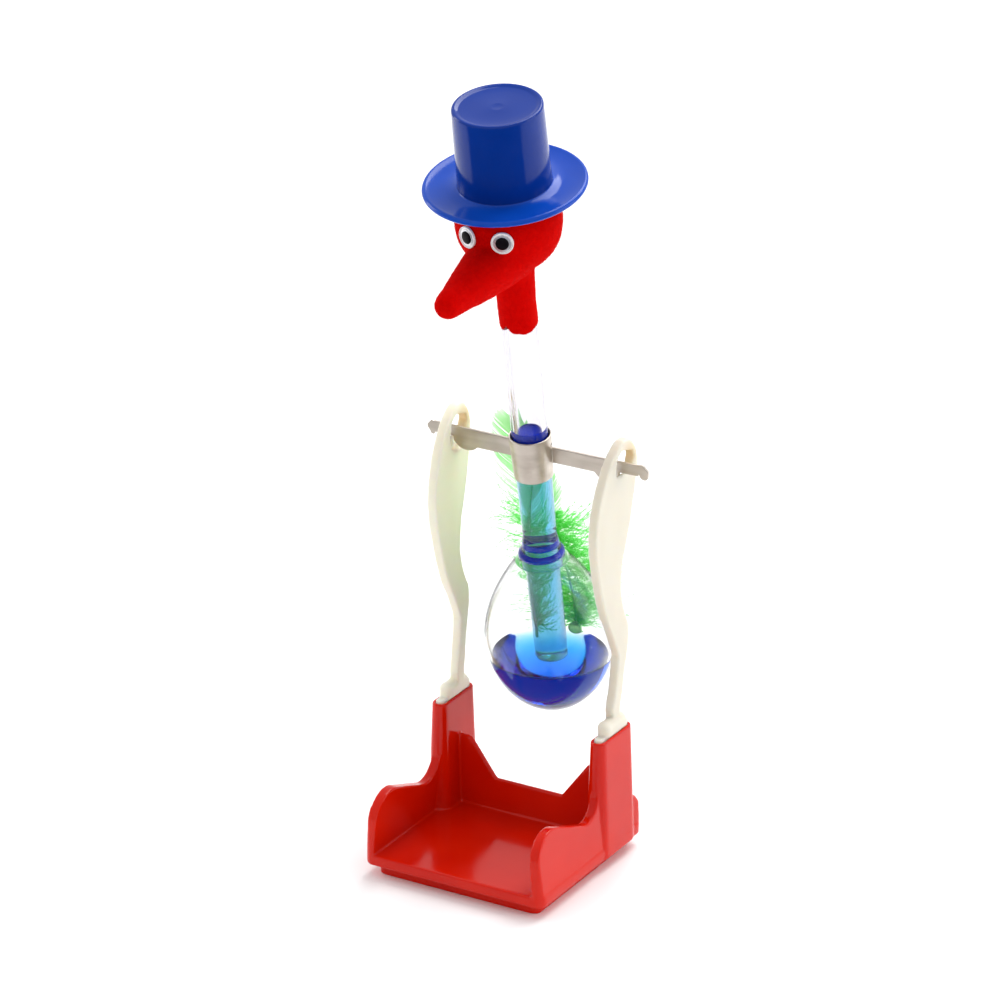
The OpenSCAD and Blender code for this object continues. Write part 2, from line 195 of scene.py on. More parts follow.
def rounded(source, voxel, rounds, keep, crease=1.0):
    """The mesh of source, in millimetres, remeshed finely and eased so that its outer edges are rounded.

    crease is how much of the sharpness of inner corners is kept.
    """
    work = bpy.data.objects.new("work", source)
    bpy.context.scene.collection.objects.link(work)
    cells = work.modifiers.new("cells", "REMESH")
    cells.mode = "VOXEL"
    cells.voxel_size = voxel
    mesh = evaluated(work)
    bpy.data.objects.remove(work)
    count = len(mesh.vertices)
    ends = np.empty(len(mesh.edges) * 2, dtype=np.int32)
    mesh.edges.foreach_get("vertices", ends)
    a, b = ends[0::2], ends[1::2]
    degree = np.bincount(a, minlength=count) + np.bincount(b, minlength=count)
    co = coordinates(mesh)
    for _ in range(rounds):
        normal = np.empty(count * 3, dtype=np.float32)
        mesh.vertex_normals.foreach_get("vector", normal)
        normal = normal.reshape(-1, 3)
        total = np.stack([np.bincount(a, weights=co[b, k], minlength=count)
                          + np.bincount(b, weights=co[a, k], minlength=count) for k in range(3)], axis=1)
        move = 0.5 * (total / degree[:, None] - co)
        outward = np.maximum(np.einsum("ij,ij->i", move, normal), 0.0) * crease
        co = (co + move - normal * outward[:, None]).astype(np.float32)
        mesh.vertices.foreach_set("co", co.ravel())
        mesh.update()
    if keep < 1.0:
        work = bpy.data.objects.new("work", mesh)
        bpy.context.scene.collection.objects.link(work)
        thin = work.modifiers.new("thin", "DECIMATE")
        thin.ratio = keep
        mesh = evaluated(work)
        bpy.data.objects.remove(work)
    return mesh


def moulded(node, name, material, voxel, rounds, keep, sharp=50.0):
    """A CAD part with the rounded edges that moulding or stamping leaves."""
    source = frame["nodes"][node].data.copy()
    source.transform(Matrix.Scale(1 / MM, 4))
    bm = bmesh.new()
    bm.from_mesh(source)
    bmesh.ops.remove_doubles(bm, verts=bm.verts, dist=0.001)
    bm.to_mesh(source)
    bm.free()
    mesh = rounded(source, voxel, rounds, keep)
    mesh.transform(Matrix.Scale(MM, 4))
    mesh.name = name
    shade(mesh, sharp)
    return link(name, mesh, material)


# ---------- materials ----------

class Nodes:
    """A small helper that adds and wires shader nodes."""

    def __init__(self, name):
        self.material = bpy.data.materials.new(name)
        self.material.use_nodes = True
        self.tree = self.material.node_tree
        self.shader = self.tree.nodes["Principled BSDF"]
        self.out = self.tree.nodes["Material Output"]
        self.coords = self.tree.nodes.new("ShaderNodeTexCoord").outputs["Object"]

    def node(self, kind, **values):
        n = self.tree.nodes.new(kind)
        for key, value in values.items():
            if key in n.inputs:
                n.inputs[key].default_value = value
            else:
                setattr(n, key, value)
        return n

    def wire(self, a, b):
        self.tree.links.new(a, b)

    def noise(self, scale, detail=3.0, rough=0.5, stretch=None):
        """Noise with its scale in features per metre."""
        n = self.node("ShaderNodeTexNoise", Scale=scale, Detail=detail, Roughness=rough)
        if stretch:
            m = self.node("ShaderNodeMapping", Scale=stretch)
            self.wire(self.coords, m.inputs["Vector"])
            self.wire(m.outputs["Vector"], n.inputs["Vector"])
        else:
            self.wire(self.coords, n.inputs["Vector"])
        return n.outputs["Fac"]

    def tint(self, fac, low, high, lo=0.3, hi=0.7):
        ramp = self.node("ShaderNodeValToRGB")
        ramp.color_ramp.elements[0].position = lo
        ramp.color_ramp.elements[0].color = (*low, 1.0)
        ramp.color_ramp.elements[1].position = hi
        ramp.color_ramp.elements[1].color = (*high, 1.0)
        self.wire(fac, ramp.inputs["Fac"])
        self.wire(ramp.outputs["Color"], self.shader.inputs["Base Color"])

    def rough(self, fac, low, high):
        m = self.node("ShaderNodeMapRange")
        m.inputs["From Min"].default_value = 0.3
        m.inputs["From Max"].default_value = 0.7
        m.inputs["To Min"].default_value = low
        m.inputs["To Max"].default_value = high
        self.wire(fac, m.inputs["Value"])
        self.wire(m.outputs["Result"], self.shader.inputs["Roughness"])

    def bump(self, height, strength, distance_mm):
        b = self.node("ShaderNodeBump", Strength=strength, Distance=distance_mm * MM)
        self.wire(height, b.inputs["Height"])
        self.wire(b.outputs["Normal"], self.shader.inputs["Normal"])

    def set(self, **values):
        for key, value in values.items():
            self.shader.inputs[key.replace("_", " ")].default_value = value


def red_plastic():
    m = Nodes("red_plastic")
    m.tint(m.noise(60, 2), (0.56, 0.006, 0.0), (0.64, 0.010, 0.0))
    m.rough(m.noise(220, 4), 0.11, 0.17)
    m.bump(m.noise(900, 3), 0.06, 0.03)
    m.set(Specular_IOR_Level=0.24)
    return m.material


def ivory_plastic(name, low, high, window_shade_place):
    """Milky plastic, with a darker tan shade painted round the window at the place given (millimetres)."""
    m = Nodes(name)
    m.tint(m.noise(70, 3, stretch=(1.0, 1.0, 0.35)), low, high)
    plain = m.shader.inputs["Base Color"].links[0].from_socket
    away = m.node("ShaderNodeVectorMath", operation="DISTANCE")
    away.inputs[1].default_value = tuple(c * MM for c in window_shade_place)
    m.wire(m.coords, away.inputs[0])
    near = m.node("ShaderNodeMapRange")
    near.inputs["From Min"].default_value = 1.6 * MM
    near.inputs["From Max"].default_value = 4.4 * MM
    near.inputs["To Min"].default_value = 0.75
    near.inputs["To Max"].default_value = 0.0
    m.wire(away.outputs["Value"], near.inputs["Value"])
    # Painted shade: near the window the colour blends into a darker tan, standing for the window's shaded
    # inner walls.
    blend = m.node("ShaderNodeMixRGB")
    blend.inputs["Color2"].default_value = (0.80, 0.60, 0.32, 1.0)
    m.wire(near.outputs["Result"], blend.inputs["Fac"])
    m.wire(plain, blend.inputs["Color1"])
    m.wire(blend.outputs["Color"], m.shader.inputs["Base Color"])
    m.rough(m.noise(300, 3), 0.3, 0.42)
    m.bump(m.noise(700, 3), 0.08, 0.05)
    m.set(Subsurface_Weight=0.6, Subsurface_Radius=(1.0, 0.8, 0.55), Subsurface_Scale=0.003,
          Transmission_Weight=0.1, IOR=1.46, Specular_IOR_Level=0.4)
    return m.material


def nickel():
    m = Nodes("nickel_plate")
    streaks = m.noise(500, 4, stretch=(0.12, 1.0, 1.0))
    m.tint(streaks, (0.53, 0.475, 0.41), (0.65, 0.59, 0.525))
    m.rough(m.noise(400, 4), 0.32, 0.46)
    m.bump(streaks, 0.15, 0.03)
    m.set(Metallic=1.0)
    return m.material


def clear_glass(name, passed):
    """Clear glass; passed is the share of each colour let through by every millimetre."""
    m = Nodes(name)
    m.tint(m.noise(30), (0.975, 0.98, 0.98), (0.99, 0.99, 0.99))
    m.rough(m.noise(80), 0.0, 0.012)
    m.bump(m.noise(110, 2), 0.12, 0.2)
    m.set(Transmission_Weight=1.0, IOR=1.47, Specular_Tint=(0.55, 0.57, 0.65, 1.0))
    body = m.node("ShaderNodeVolumeAbsorption", Density=1000.0)
    body.inputs["Color"].default_value = (*passed, 1.0)
    m.wire(body.outputs["Volume"], m.out.inputs["Volume"])
    return m.material


def blue_liquid(name, absorb, haze, index=1.42):
    """A dyed liquid; absorb is the share of each colour taken by every millimetre."""
    m = Nodes(name)
    m.tint(m.noise(40), (0.95, 0.98, 1.0), (0.98, 0.99, 1.0))
    m.rough(m.noise(60), 0.0, 0.01)
    m.set(Transmission_Weight=1.0, IOR=index, Specular_Tint=(0.6, 0.65, 1.0, 1.0))
    cloud = m.node("ShaderNodeBsdfDiffuse")
    cloud.inputs["Color"].default_value = (0.02, 0.06, 0.95, 1.0)
    both = m.node("ShaderNodeMixShader", Fac=haze)
    m.wire(m.shader.outputs["BSDF"], both.inputs[1])
    m.wire(cloud.outputs["BSDF"], both.inputs[2])
    m.wire(both.outputs["Shader"], m.out.inputs["Surface"])
    dye = m.node("ShaderNodeVolumeAbsorption", Density=1000.0)
    dye.inputs["Color"].default_value = (1 - absorb[0], 1 - absorb[1], 1 - absorb[2], 1.0)
    m.wire(dye.outputs["Volume"], m.out.inputs["Volume"])
    return m.material


def red_felt(name, low, high, sheen):
    m = Nodes(name)
    m.tint(m.noise(900, 5, 0.7), low, high)
    m.rough(m.noise(500), 0.85, 1.0)
    m.bump(m.noise(2600, 4, 0.8), 0.5, 0.12)
    m.set(Sheen_Weight=sheen, Sheen_Roughness=0.4, Sheen_Tint=(1.0, 0.02, 0.01, 1.0),
          Specular_IOR_Level=0.03)
    return m.material


def blue_plastic(name, low, high):
    m = Nodes(name)
    m.tint(m.noise(60, 2), low, high)
    m.rough(m.noise(220, 4), 0.1, 0.17)
    m.bump(m.noise(800, 3), 0.05, 0.03)
    m.set(Specular_IOR_Level=0.22)
    return m.material


def feather_green(name, low, high):
    m = Nodes(name)
    m.tint(m.noise(700, 4), low, high)
    m.rough(m.noise(300), 0.55, 0.8)
    m.set(Specular_IOR_Level=0.05)
    thin = m.node("ShaderNodeBsdfTranslucent")
    thin.inputs["Color"].default_value = (*high, 1.0)
    both = m.node("ShaderNodeMixShader", Fac=0.55)
    m.wire(m.shader.outputs["BSDF"], both.inputs[1])
    m.wire(thin.outputs["BSDF"], both.inputs[2])
    m.wire(both.outputs["Shader"], m.out.inputs["Surface"])
    return m.material


def eye_silver():
    m = Nodes("eye_silver")
    m.tint(m.noise(500, 3), (0.70, 0.71, 0.74), (0.82, 0.82, 0.84))
    m.rough(m.noise(700), 0.2, 0.35)
    m.bump(m.noise(1200), 0.1, 0.03)
    m.set(Metallic=0.55, Coat_Weight=0.6)
    return m.material


def eye_white():
    m = Nodes("eye_white")
    m.tint(m.noise(500, 3), (0.84, 0.84, 0.82), (0.92, 0.92, 0.9))
    m.rough(m.noise(700), 0.25, 0.4)
    m.bump(m.noise(1200), 0.1, 0.03)
    return m.material


def eye_black():
    m = Nodes("eye_black")
    m.tint(m.noise(900, 3), (0.003, 0.003, 0.004), (0.008, 0.007, 0.009))
    m.rough(m.noise(700), 0.3, 0.45)
    m.set(Specular_IOR_Level=0.08)
    m.bump(m.noise(1500), 0.1, 0.03)
    return m.material


def clear_glue():
    m = Nodes("clear_glue")
    m.tint(m.noise(400, 3), (0.30, 0.85, 0.26), (0.50, 0.95, 0.45))
    m.rough(m.noise(500), 0.05, 0.2)
    m.bump(m.noise(900, 3), 0.3, 0.15)
    m.set(Transmission_Weight=0.5, IOR=1.3)
    return m.material


RED = red_plastic()
IVORY = ivory_plastic("ivory_plastic", (0.76, 0.725, 0.62), (0.82, 0.785, 0.68), (20.9, 16.0, 98.0))
# The two legs are one ivory plastic; the left leg's copy is painted brighter, painted light against the
# shade the bird casts on its inner face.
IVORY_PAINTED_LIGHT = ivory_plastic("ivory_plastic_painted_light", (0.95, 0.89, 0.72), (0.98, 0.925, 0.79), (-20.9, 16.6, 98.0))
NICKEL = nickel()
GLASS = clear_glass("clear_glass", (0.97, 0.97, 0.975))
TUBE_GLASS = clear_glass("clear_glass_tube", (0.90, 0.893, 0.912))
DYE = (0.36, 0.105, 0.014)
POOL = blue_liquid("blue_liquid", DYE, 0.02, 1.14)
POOL_SIDE = blue_liquid("blue_liquid_side", DYE, 0.08, 1.14 / 1.47)
COLUMN_END = blue_liquid("blue_column_end", (0.50, 0.35, 0.03), 0.8)
COLUMN = blue_liquid("blue_column", (0.36, 0.085, 0.018), 0.03)
RING = blue_liquid("blue_ring", (0.60, 0.35, 0.03), 0.6)
FELT = red_felt("red_felt", (0.52, 0.0, 0.0), (0.64, 0.001, 0.0), 0.15)
# A lighter copy of the felt for its fibres: painted sheen, for the bright fuzzy outline of the flock.
FLOCK_PAINTED_SHEEN = red_felt("red_flock_painted_sheen", (0.62, 0.001, 0.0), (0.85, 0.003, 0.002), 0.3)
BLUE = blue_plastic("blue_plastic", (0.001, 0.052, 0.40), (0.003, 0.068, 0.48))
# A darker copy of the hat's blue for the crown's side and top: painted shade, as the crown gets less light
# than the brim.
CROWN_BLUE_PAINTED_SHADE = blue_plastic("blue_plastic_painted_shade", (0.0, 0.024, 0.22), (0.001, 0.032, 0.27))
DOWN = feather_green("green_feather", (0.10, 0.75, 0.09), (0.28, 0.92, 0.24))
VANE = feather_green("green_vane", (0.50, 0.93, 0.46), (0.66, 0.97, 0.62))
SILVER = eye_silver()
WHITE = eye_white()
BLACK = eye_black()
GLUE = clear_glue()

CAD_LOOKS = {
    "base": RED, "left_leg": IVORY_PAINTED_LIGHT, "right_leg": IVORY, "crossbar": NICKEL, "neck_tube": GLASS,
    "lower_bulb": GLASS, "head_bulb": GLASS, "liquid_pool": POOL, "liquid_column": COLUMN,
    "head_felt": FELT, "beak": FELT, "left_eye": SILVER, "right_eye": SILVER, "left_pupil": BLACK,
    "right_pupil": BLACK, "hat": BLUE, "feather_quill": DOWN, "feather_vane": DOWN,
    "feather_glue": GLUE,
}
for node_name, look in CAD_LOOKS.items():
    data = frame["nodes"][node_name].data
    data.materials.clear()
    data.materials.append(look)


# ---------- stand ----------

add(moulded("base", "stand_moulding", RED, 0.25, 6, 0.5), "stand", "red_plastic", "base")
# The left leg takes the brighter copy of the ivory, painted light.
add(moulded("left_leg", "left_leg_plate", IVORY_PAINTED_LIGHT, 0.24, 9, 1.0), "stand", "ivory_plastic", "left_leg")
add(moulded("right_leg", "right_leg_plate", IVORY, 0.24, 9, 1.0), "stand", "ivory_plastic", "right_leg")

# ---------- crossbar ----------

add(moulded("crossbar", "pivot_strip", NICKEL, 0.1, 2, 0.4), "bird", "nickel_plate", "crossbar")


# ---------- glass ----------

def egg_radius(z, wall=0.0):
    """Radius of the lower bulb at height z: an ellipse below its widest place, a shoulder above."""
    r = BULB_R - wall
    if z <= BULB_Z:
        t = (BULB_Z - z) / (BULB_H - wall)
        return r * math.sqrt(max(0.0, 1 - t * t))
    return r * (1 - SHOULDER_PULL * ((z - BULB_Z) / BULB_NECK) ** SHOULDER_POWER)


def egg_profile(wall, top, steps=48):
    """Points from the bottom tip up to height top."""
    low = BULB_H - wall
    pts = [((BULB_R - wall) * math.cos(a), BULB_Z + low * math.sin(a))
           for a in [math.radians(-90 + 90 * i / steps) for i in range(steps)]]
    pts[0] = (0.0, pts[0][1])
    count = steps // 2
    return pts + [(egg_radius(BULB_Z + (top - BULB_Z) * i / count, wall),
                   BULB_Z + (top - BULB_Z) * i / count) for i in range(count + 1)]


def glass_part(profile):
    """A bmesh of an open lathed profile round the neck, at rest, in millimetres."""
    verts, faces = lathe(profile, GLASS_STEPS, closed=False)
    mesh = bpy.data.meshes.new("part")
    mesh.from_pydata([tuple(NECK @ Vector(v)) for v in verts], [], faces)
    bm = bmesh.new()
    bm.from_mesh(mesh)
    bpy.data.meshes.remove(mesh)
    return bm


def bulb():
    """The blown bulb. Where liquid touches the wall, the liquid's own skin is the inner face."""
    outer = egg_profile(0.0, RING_Z - 0.1)
    beads = ((5.22, 0.2), (5.32, 0.6), (5.12, 1.25), (4.66, 2.0), (4.26, 2.8), (4.16, 3.7), (4.0, 4.7),
             (3.87, 5.4))
    ring = [(p.x, p.y) for p in smooth_path([(r, RING_Z + up, 0) for r, up in beads], 4)]
    seat = [(DIP_R - 0.05, RING_Z + 5.4), (DIP_R - 0.05, RING_Z - 0.4), (4.4, RING_Z - 0.9)]
    inner = egg_profile(BULB_WALL, RING_Z - 1.3)[::-1]
    shell = glass_part(outer + ring + seat + inner[:1])
    lining = glass_part(inner)
    bmesh.ops.bisect_plane(lining, geom=lining.verts[:] + lining.edges[:] + lining.faces[:], dist=1e-5,
                           plane_co=(0, 0, POOL_Z + WETTING), plane_no=(0, 0, 1), clear_inner=True)
    mesh = bpy.data.meshes.new("blown_bulb")
    lining.to_mesh(mesh)
    lining.free()
    shell.from_mesh(mesh)
    shell.to_mesh(mesh)
    shell.free()
    mesh.transform(Matrix.Scale(MM, 4))
    shade(mesh, 60)
    return add(link("blown_bulb", mesh, GLASS), "bird", "clear_glass", "lower_bulb")


def tube():
    """The neck tube, a little wavy where it was drawn inside the bulb."""
    outer = [(DIP_R - 0.3, DIP_END), (DIP_R - 0.05, DIP_END + 0.35)]
    count = 30
    for i in range(count + 1):
        t = i / count
        z = DIP_END + 0.8 + (RING_Z - 1.0 - DIP_END) * t
        outer.append((DIP_R - 0.08 + 0.16 * t + 0.03 * math.sin(z * 0.9) * math.sin(z * 0.23 + 1.0), z))
    outer += [(DIP_R, RING_Z + 5.0), (3.9, -17.0), (TUBE_LOW_R, -6.0), (TUBE_LOW_R, -5.0), (TUBE_R, 5.6),
              (TUBE_R, 20.0), (TUBE_R, 34.0), (TUBE_R, 48.4)]
    inner = [(BORE_R, 48.4), (BORE_R, 30.0), (BORE_R, 6.0), (BORE_R, -20.0)]
    for i in range(12):
        z = -22.0 + (DIP_END + 22.0) * i / 12
        inner.append((BORE_R + 0.04 * math.sin(z * 0.7), z))
    inner += [(BORE_R, DIP_END + 0.4), (BORE_R + 0.2, DIP_END)]
    verts, faces = lathe(outer + inner, TUBE_STEPS)
    obj = new_mesh("glass_neck", verts, faces, TUBE_GLASS, NECK, 60)
    return add(obj, "bird", "clear_glass", "neck_tube")


def ring_liquid():
    """Liquid drawn into the two narrow gaps of the ring round the neck."""
    for name, low, high, far in (("ring_liquid_low", RING_Z - 0.1, RING_Z + 1.3, 4.98),
                                 ("ring_liquid_high", RING_Z + 2.5, RING_Z + 4.1, 4.12)):
        mid = (low + high) / 2
        near = DIP_R + 0.02
        part_way = near + (far - near) * 0.6
        profile = [(near, low), (part_way, low + 0.1), (far, mid), (part_way, high - 0.1), (near, high)]
        verts, faces = lathe(profile, TUBE_STEPS)
        add(new_mesh(name, verts, faces, RING, NECK, 70), "bird", "blue_liquid")


def pool():
    """The liquid, level at rest, with its edge drawn up where it wets the glass."""
    bm = glass_part(egg_profile(BULB_WALL, -38.0))
    cut = bmesh.ops.bisect_plane(bm, geom=bm.verts[:] + bm.edges[:] + bm.faces[:], dist=1e-5,
                                 plane_co=(0, 0, POOL_Z + WETTING), plane_no=(0, 0, 1), clear_outer=True)
    for face in bm.faces:
        face.material_index = 1
    rim = [e for e in cut["geom_cut"] if isinstance(e, bmesh.types.BMEdge)]
    for shrink, drop in ((0.985, 0.32), (0.965, 0.16), (0.93, 0.08), (0.86, 0.04)):
        grown = bmesh.ops.extrude_edge_only(bm, edges=rim)["geom"]
        ring = [v for v in grown if isinstance(v, bmesh.types.BMVert)]
        for face in grown:
            if isinstance(face, bmesh.types.BMFace):
                face.material_index = 0
        rim = [e for e in grown if isinstance(e, bmesh.types.BMEdge) and all(v in ring for v in e.verts)]
        middle = sum((v.co for v in ring), Vector()) / len(ring)
        for v in ring:
            v.co.x = middle.x + (v.co.x - middle.x) * shrink
            v.co.y = middle.y + (v.co.y - middle.y) * shrink
            v.co.z -= drop
    for face in bmesh.ops.contextual_create(bm, geom=rim)["faces"]:
        face.material_index = 0
    bmesh.ops.recalc_face_normals(bm, faces=bm.faces)
    mesh = bpy.data.meshes.new("pool_liquid")
    bm.to_mesh(mesh)
    bm.free()
    mesh.transform(Matrix.Scale(MM, 4))
    shade(mesh, 60)
    obj = link("pool_liquid", mesh, POOL)
    mesh.materials.append(POOL_SIDE)
    return add(obj, "bird", "blue_liquid", "liquid_pool")


def column():
    """The liquid risen in the neck, with a hollow top, and the cloudier end of it in the collar."""
    top = [(BORE_R + 0.05, COLUMN_TOP), (BORE_R * 0.9, COLUMN_TOP - 0.35), (BORE_R * 0.6, COLUMN_TOP - 0.8),
           (BORE_R * 0.3, COLUMN_TOP - 1.0), (0.0, COLUMN_TOP - 1.05)]
    stem = [(0.0, DIP_END), (BORE_R + 0.05, DIP_END), (BORE_R + 0.05, COLUMN_TOP - 2.4)]
    verts, faces = lathe(stem + top, TUBE_STEPS, closed=False)
    add(new_mesh("neck_liquid", verts, faces, COLUMN, NECK, 60), "bird", "blue_liquid", "liquid_column")
    low = COLUMN_TOP - 2.2
    end = [(0.0, low), (BORE_R + 0.08, low)] + [(r + 0.03, z + 0.03) for r, z in top[:-1]]
    verts, faces = lathe(end + [(0.0, top[-1][1] + 0.03)], TUBE_STEPS, closed=False)
    add(new_mesh("neck_liquid_end", verts, faces, COLUMN_END, NECK, 60), "bird", "blue_liquid")


def droplets():
    """Small drops of liquid clinging inside the back of the bulb."""
    rng = random.Random(5)
    verts, faces = [], []
    for i in range(60):
        a = math.radians(rng.uniform(45, 110) if i % 4 else rng.uniform(0, 360))
        z = rng.uniform(-50, -36)
        r = egg_radius(z, BULB_WALL) - 0.01
        size = rng.choice((0.07, 0.09, 0.12, 0.16))
        centre = Vector((r * math.cos(a), r * math.sin(a), z))
        belly = [arc(0.0, 0.0, size, t, t, 1)[0] for t in (-55, -20, 20, 55)]
        bead_v, bead_f = lathe([(0.0, -size)] + belly + [(0.0, size)], 10, closed=False)
        start = len(verts)
        verts += [tuple(Vector(v) + centre) for v in bead_v]
        faces += [[start + k for k in f] for f in bead_f]
    return add(new_mesh("droplets", verts, faces, GLASS, NECK, 80), "bird", "clear_glass")


bulb()
tube()
ring_liquid()
pool()
column()
droplets()


# ---------- felt head ----------

def turned(x, y, z):
    """A place on the straight-ahead face, turned about the neck with the head."""
    a = math.radians(HEAD_TURN)
    back = y - NECK_Y
    return (NECK_X + x * math.cos(a) - back * math.sin(a), NECK_Y + x * math.sin(a) + back * math.cos(a), z)


def beak_sections():
    """Rings of the beak, as (reach forward, height, half width, half height) in the bird's frame."""
    return smooth_path([(-2.0, 53.0, 7.0), (-9.0, 53.3, 6.5), (-15.0, 53.5, 5.7), (-21.0, 53.7, 4.7),
                        (-27.0, 54.0, 3.6), (-30.6, 54.3, 3.15)], 6)


def head_blank():
    """Head, sleeve and beak as overlapping closed shells in the bird's frame, in millimetres."""
    verts, faces = [], []

    def join(v, f, matrix=Matrix.Identity(4)):
        start = len(verts)
        verts.extend(tuple(matrix @ Vector(p)) for p in v)
        faces.extend([start + k for k in face] for face in f)

    ball = [(0.0, -FELT_R)] + arc(0, 0, FELT_R, -84, 84, 40) + [(0.0, FELT_R)]
    join(*lathe(ball, 96, closed=False), Matrix.Translation((NECK_X, NECK_Y, HEAD_Z)))
    sleeve = [(0.0, SLEEVE_Z), (SLEEVE_R, SLEEVE_Z), (SLEEVE_R, 40.0), (SLEEVE_R + 0.2, 46.0), (5.0, 49.0),
              (5.0, 52.0), (0.0, 52.0)]
    join(*lathe(sleeve, 64, closed=False), Matrix.Translation((NECK_X, NECK_Y, 0)))
    steps = 48
    rings = beak_sections()
    v, f = [], []
    for ring in rings:
        for i in range(steps):
            a = 2 * math.pi * i / steps
            v.append(turned(ring.z * math.cos(a), ring.x, ring.y + ring.z * 0.96 * math.sin(a)))
    for k in range(len(rings) - 1):
        for i in range(steps):
            j = (i + 1) % steps
            f.append([k * steps + i, k * steps + j, (k + 1) * steps + j, (k + 1) * steps + i])
    last = rings[-1]
    for turn in (30, 60):
        start = len(v)
        c, s = math.cos(math.radians(turn)), math.sin(math.radians(turn))
        for i in range(steps):
            a = 2 * math.pi * i / steps
            v.append(turned(last.z * c * math.cos(a), last.x - last.z * s,
                            last.y + last.z * 0.96 * c * math.sin(a)))
        f += [[start - steps + i, start - steps + (i + 1) % steps, start + (i + 1) % steps, start + i]
              for i in range(steps)]
    f.append(list(range(len(v) - steps, len(v))))
    f.append(list(range(steps)))
    join(v, f)
    mesh = bpy.data.meshes.new("head_blank")
    mesh.from_pydata(verts, [], faces)
    bm = bmesh.new()
    bm.from_mesh(mesh)
    bmesh.ops.recalc_face_normals(bm, faces=bm.faces)
    bm.to_mesh(mesh)
    bm.free()
    return mesh


def ragged(x, y):
    """How far the sleeve's lower edge hangs down or is torn up at a place round the neck."""
    a = math.atan2(y - NECK_Y, x - NECK_X)
    lobe = -0.45 * math.exp(-((a + 0.75) / 0.6) ** 2)
    waves = 0.07 * math.sin(5 * a + 0.7) + 0.05 * math.sin(13 * a + 2.0)
    notch = 1.4 * math.exp(-((a + 1.75) / 0.2) ** 2)
    return lobe + waves + notch


def felt_head():
    """The flocked skin of head, beak and sleeve in one, a little lumpy, with a torn lower edge."""
    mesh = rounded(head_blank(), 0.34, 9, 0.6, 0.75)
    for v in mesh.vertices:
        co = v.co
        fade = min(1.0, max(0.0, (37.0 - co.z) / 3.0))
        co.z += fade * ragged(co.x, co.y)
        lumps = noise.noise(co * 0.35) * 0.12 + noise.noise(co * 1.6) * 0.05
        co += v.normal * lumps
    mesh.transform(Matrix.Scale(MM, 4) @ BIRD)
    mesh.name = "felt_skin"
    shade(mesh, 70)
    return add(link("felt_skin", mesh, FELT), "bird", "red_felt", "head_felt", "beak")


def flock(skin):
    """Short fibres standing on the felt, which blur its outline. Their lighter red is painted sheen for the
    bright fuzzy outline.
    """
    rng = random.Random(3)
    mesh = skin.data
    mesh.calc_loop_triangles()
    verts, faces = [], []
    per_mm2 = 9.0
    for tri in mesh.loop_triangles:
        area = tri.area / (MM * MM)
        count = int(area * per_mm2 + rng.random())
        a, b, c = (mesh.vertices[i].co for i in tri.vertices)
        for _ in range(count):
            u, v = rng.random(), rng.random()
            if u + v > 1:
                u, v = 1 - u, 1 - v
            root = a + (b - a) * u + (c - a) * v
            lean = Vector((rng.gauss(0, 1), rng.gauss(0, 1), rng.gauss(0, 1))) * 0.45
            way = (tri.normal + lean).normalized()
            side = way.cross(Vector((rng.gauss(0, 1), rng.gauss(0, 1), rng.gauss(0, 1)))).normalized()
            length = rng.uniform(0.22, 0.42) * MM
            half = 0.035 * MM
            start = len(verts)
            root = root - tri.normal * 0.05 * MM
            verts += [root - side * half, root + side * half, root + way * length]
            faces.append((start, start + 1, start + 2))
    fuzz = bpy.data.meshes.new("felt_flock")
    fuzz.from_pydata([tuple(v) for v in verts], [], faces)
    return add(link("felt_flock", fuzz, FLOCK_PAINTED_SHEEN), "bird", "red_felt")


flock(felt_head())


# ---------- eyes ----------

def eye(side, word):
    """A white rim, a silvered cup and a domed black pupil. A negative side turns it towards -X."""
    turn = math.radians(HEAD_TURN + side * EYE_TURN)
    matrix = (NECK @ Matrix.Translation((0, 0, HEAD_Z)) @ Matrix.Rotation(turn, 4, "Z")
              @ Matrix.Rotation(math.radians(-4), 4, "X") @ Matrix.Translation((0, -FELT_R, 0))
              @ Matrix.Rotation(math.radians(90), 4, "X"))
    rim = [(2.5, -0.15)] + arc(2.34, 0.2, 0.16, 0, 180, 8) + [(2.0, 0.24), (1.9, -0.15)]
    verts, faces = lathe(rim, 64)
    add(new_mesh(word + "_eye_rim", verts, faces, WHITE, matrix), "bird", "eye_silver", word + "_eye")
    cup = [(0.0, -0.1), (2.05, -0.1), (2.05, 0.22), (1.9, 0.27), (1.5, 0.32), (1.4, 0.33), (0.0, 0.33)]
    verts, faces = lathe(cup, 64, closed=False)
    add(new_mesh(word + "_eye_cup", verts, faces, SILVER, matrix), "bird", "eye_silver")
    dome = [(0.0, 0.3), (1.42, 0.3), (1.46, 0.42), (1.36, 0.53), (1.05, 0.62), (0.6, 0.68), (0.0, 0.7)]
    verts, faces = lathe(dome, 48, closed=False)
    add(new_mesh(word + "_pupil_dome", verts, faces, BLACK, matrix), "bird", "eye_black", word + "_pupil")


eye(-1, "left")
eye(1, "right")


# ---------- hat ----------

